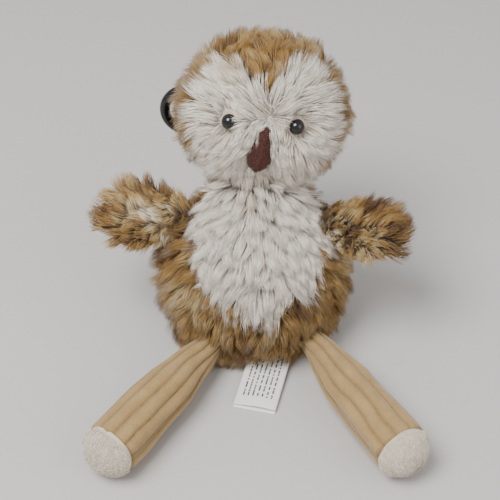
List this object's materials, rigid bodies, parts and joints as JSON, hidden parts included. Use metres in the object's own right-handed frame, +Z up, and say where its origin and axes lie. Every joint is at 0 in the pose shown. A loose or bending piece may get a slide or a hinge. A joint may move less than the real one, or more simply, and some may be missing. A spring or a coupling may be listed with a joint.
{
  "type": "plush toy owl with bag clip",
  "caption": "Small seated plush owl with long fur, ribbed legs with pale toes, hinged wings and a snap clip on a webbing tab behind its head.",
  "frame": {"origin": "middle of the flat seat, on the surface that the toy sits on", "axes": "+Z up, the toy faces -Y, and its own left is +X"},
  "size_m": [0.1343, 0.1583, 0.1192],
  "materials": {
    "brown_plush": "long-pile polyester plush, golden brown with dark roots",
    "white_plush": "long-pile polyester plush, off-white",
    "corduroy_plush": "wide-ribbed short-pile plush, tan",
    "tan_velour": "short-pile velour, tan",
    "white_velour": "short-pile velour, off-white",
    "beak_velour": "short-pile velour, dark red-brown",
    "gather_cloth": "knitted backing cloth, gathered",
    "filling": "loose polyester fibre",
    "eye_plastic": "moulded, polished black",
    "washer_plastic": "moulded, natural white",
    "label_satin": "woven satin ribbon, white",
    "black_webbing": "flat woven webbing, black",
    "clip_plastic": "moulded, glossy black",
    "steel": "drawn wire"
  },
  "bodies": {
    "torso": {"body_back_panel": "brown_plush", "body_front_panel": "brown_plush", "belly_panel": "white_plush", "body_stuffing": "filling"},
    "neck": {"neck_gather": "gather_cloth"},
    "head": {"crown_panel": "brown_plush", "face_panel": "white_plush", "head_back_panel": "brown_plush", "head_stuffing": "filling", "beak_cover": "beak_velour", "beak_stuffing": "filling", "left_eye": "eye_plastic", "left_eye_washer": "washer_plastic", "right_eye": "eye_plastic", "right_eye_washer": "washer_plastic"},
    "tab": {"webbing_tab": "black_webbing"},
    "clip": {"clip_frame": "clip_plastic", "gate_pin": "steel", "gate_spring": "steel"},
    "gate": {"clip_gate": "clip_plastic"},
    "label": {"care_label": "label_satin"},
    "left_shoulder": {"left_shoulder_gather": "gather_cloth"},
    "left_wing": {"left_wing_fur_panel": "brown_plush", "left_wing_lining": "tan_velour", "left_wing_stuffing": "filling"},
    "left_hip": {"left_hip_gather": "gather_cloth"},
    "left_leg": {"left_leg_upper_panel": "corduroy_plush", "left_leg_under_panel": "corduroy_plush", "left_toe_cap": "white_velour", "left_sole_panel": "white_velour", "left_leg_stuffing": "filling"},
    "right_shoulder": {"right_shoulder_gather": "gather_cloth"},
    "right_wing": {"right_wing_fur_panel": "brown_plush", "right_wing_lining": "tan_velour", "right_wing_stuffing": "filling"},
    "right_hip": {"right_hip_gather": "gather_cloth"},
    "right_leg": {"right_leg_upper_panel": "corduroy_plush", "right_leg_under_panel": "corduroy_plush", "right_toe_cap": "white_velour", "right_sole_panel": "white_velour", "right_leg_stuffing": "filling"}
  },
  "joints": [
    {"name": "neck_turn", "type": "hinge", "parent": "torso", "child": "neck", "pos_m": [0, 0.01505, 0.06719], "axis": [0, 0.342, 0.9397], "range_deg": [-40, 40]},
    {"name": "neck_nod", "type": "hinge", "parent": "neck", "child": "head", "pos_m": [0, 0.01505, 0.06719], "axis": [1, 0, 0], "range_deg": [-15, 15]},
    {"name": "left_wing_raise", "type": "hinge", "parent": "torso", "child": "left_shoulder", "pos_m": [0.02357, 0.00838, 0.04886], "axis": [0.5479, 0.7862, 0.2859], "range_deg": [-40, 5]},
    {"name": "left_wing_sweep", "type": "hinge", "parent": "left_shoulder", "child": "left_wing", "pos_m": [0.02357, 0.00838, 0.04886], "axis": [-0.2501, -0.1721, 0.9528], "range_deg": [0, 45]},
    {"name": "left_leg_spread", "type": "hinge", "parent": "torso", "child": "left_hip", "pos_m": [0.02, -0.02361, 0.013], "axis": [0.0047, -0.0086, 1], "range_deg": [-5, 30]},
    {"name": "left_leg_swing", "type": "hinge", "parent": "left_hip", "child": "left_leg", "pos_m": [0.02, -0.02361, 0.013], "axis": [0.8788, 0.4772, 0], "range_deg": [-15, 55]},
    {"name": "right_wing_raise", "type": "hinge", "parent": "torso", "child": "right_shoulder", "pos_m": [-0.02357, 0.00838, 0.04886], "axis": [0.0836, -0.8022, -0.5912], "range_deg": [-40, 20]},
    {"name": "right_wing_sweep", "type": "hinge", "parent": "right_shoulder", "child": "right_wing", "pos_m": [-0.02357, 0.00838, 0.04886], "axis": [0.161, -0.5746, 0.8024], "range_deg": [-45, 8]},
    {"name": "right_leg_spread", "type": "hinge", "parent": "torso", "child": "right_hip", "pos_m": [-0.016, -0.02648, 0.013], "axis": [-0.0054, -0.0081, 1], "range_deg": [-24, 18]},
    {"name": "right_leg_swing", "type": "hinge", "parent": "right_hip", "child": "right_leg", "pos_m": [-0.016, -0.02648, 0.013], "axis": [0.8339, -0.5519, 0], "range_deg": [-15, 55]},
    {"name": "tab_flap", "type": "hinge", "parent": "head", "child": "tab", "pos_m": [0.00012, 0.04233, 0.11402], "axis": [1, 0, 0], "range_deg": [0, 110]},
    {"name": "clip_swing", "type": "hinge", "parent": "tab", "child": "clip", "pos_m": [0.00012, 0.05515, 0.09294], "axis": [0, 1, 0], "range_deg": [-122, 13]},
    {"name": "gate_open", "type": "hinge", "parent": "clip", "child": "gate", "pos_m": [-0.01499, 0.05515, 0.07088], "axis": [0, -1, 0], "range_deg": [0, 25], "stiffness_Nm_per_rad": 0.012, "springref_deg": -20.05},
    {"name": "label_lift", "type": "hinge", "parent": "torso", "child": "label", "pos_m": [0.006, -0.02821, 0.0032], "axis": [0.9703, -0.2419, 0], "range_deg": [0, 40]}
  ]
}
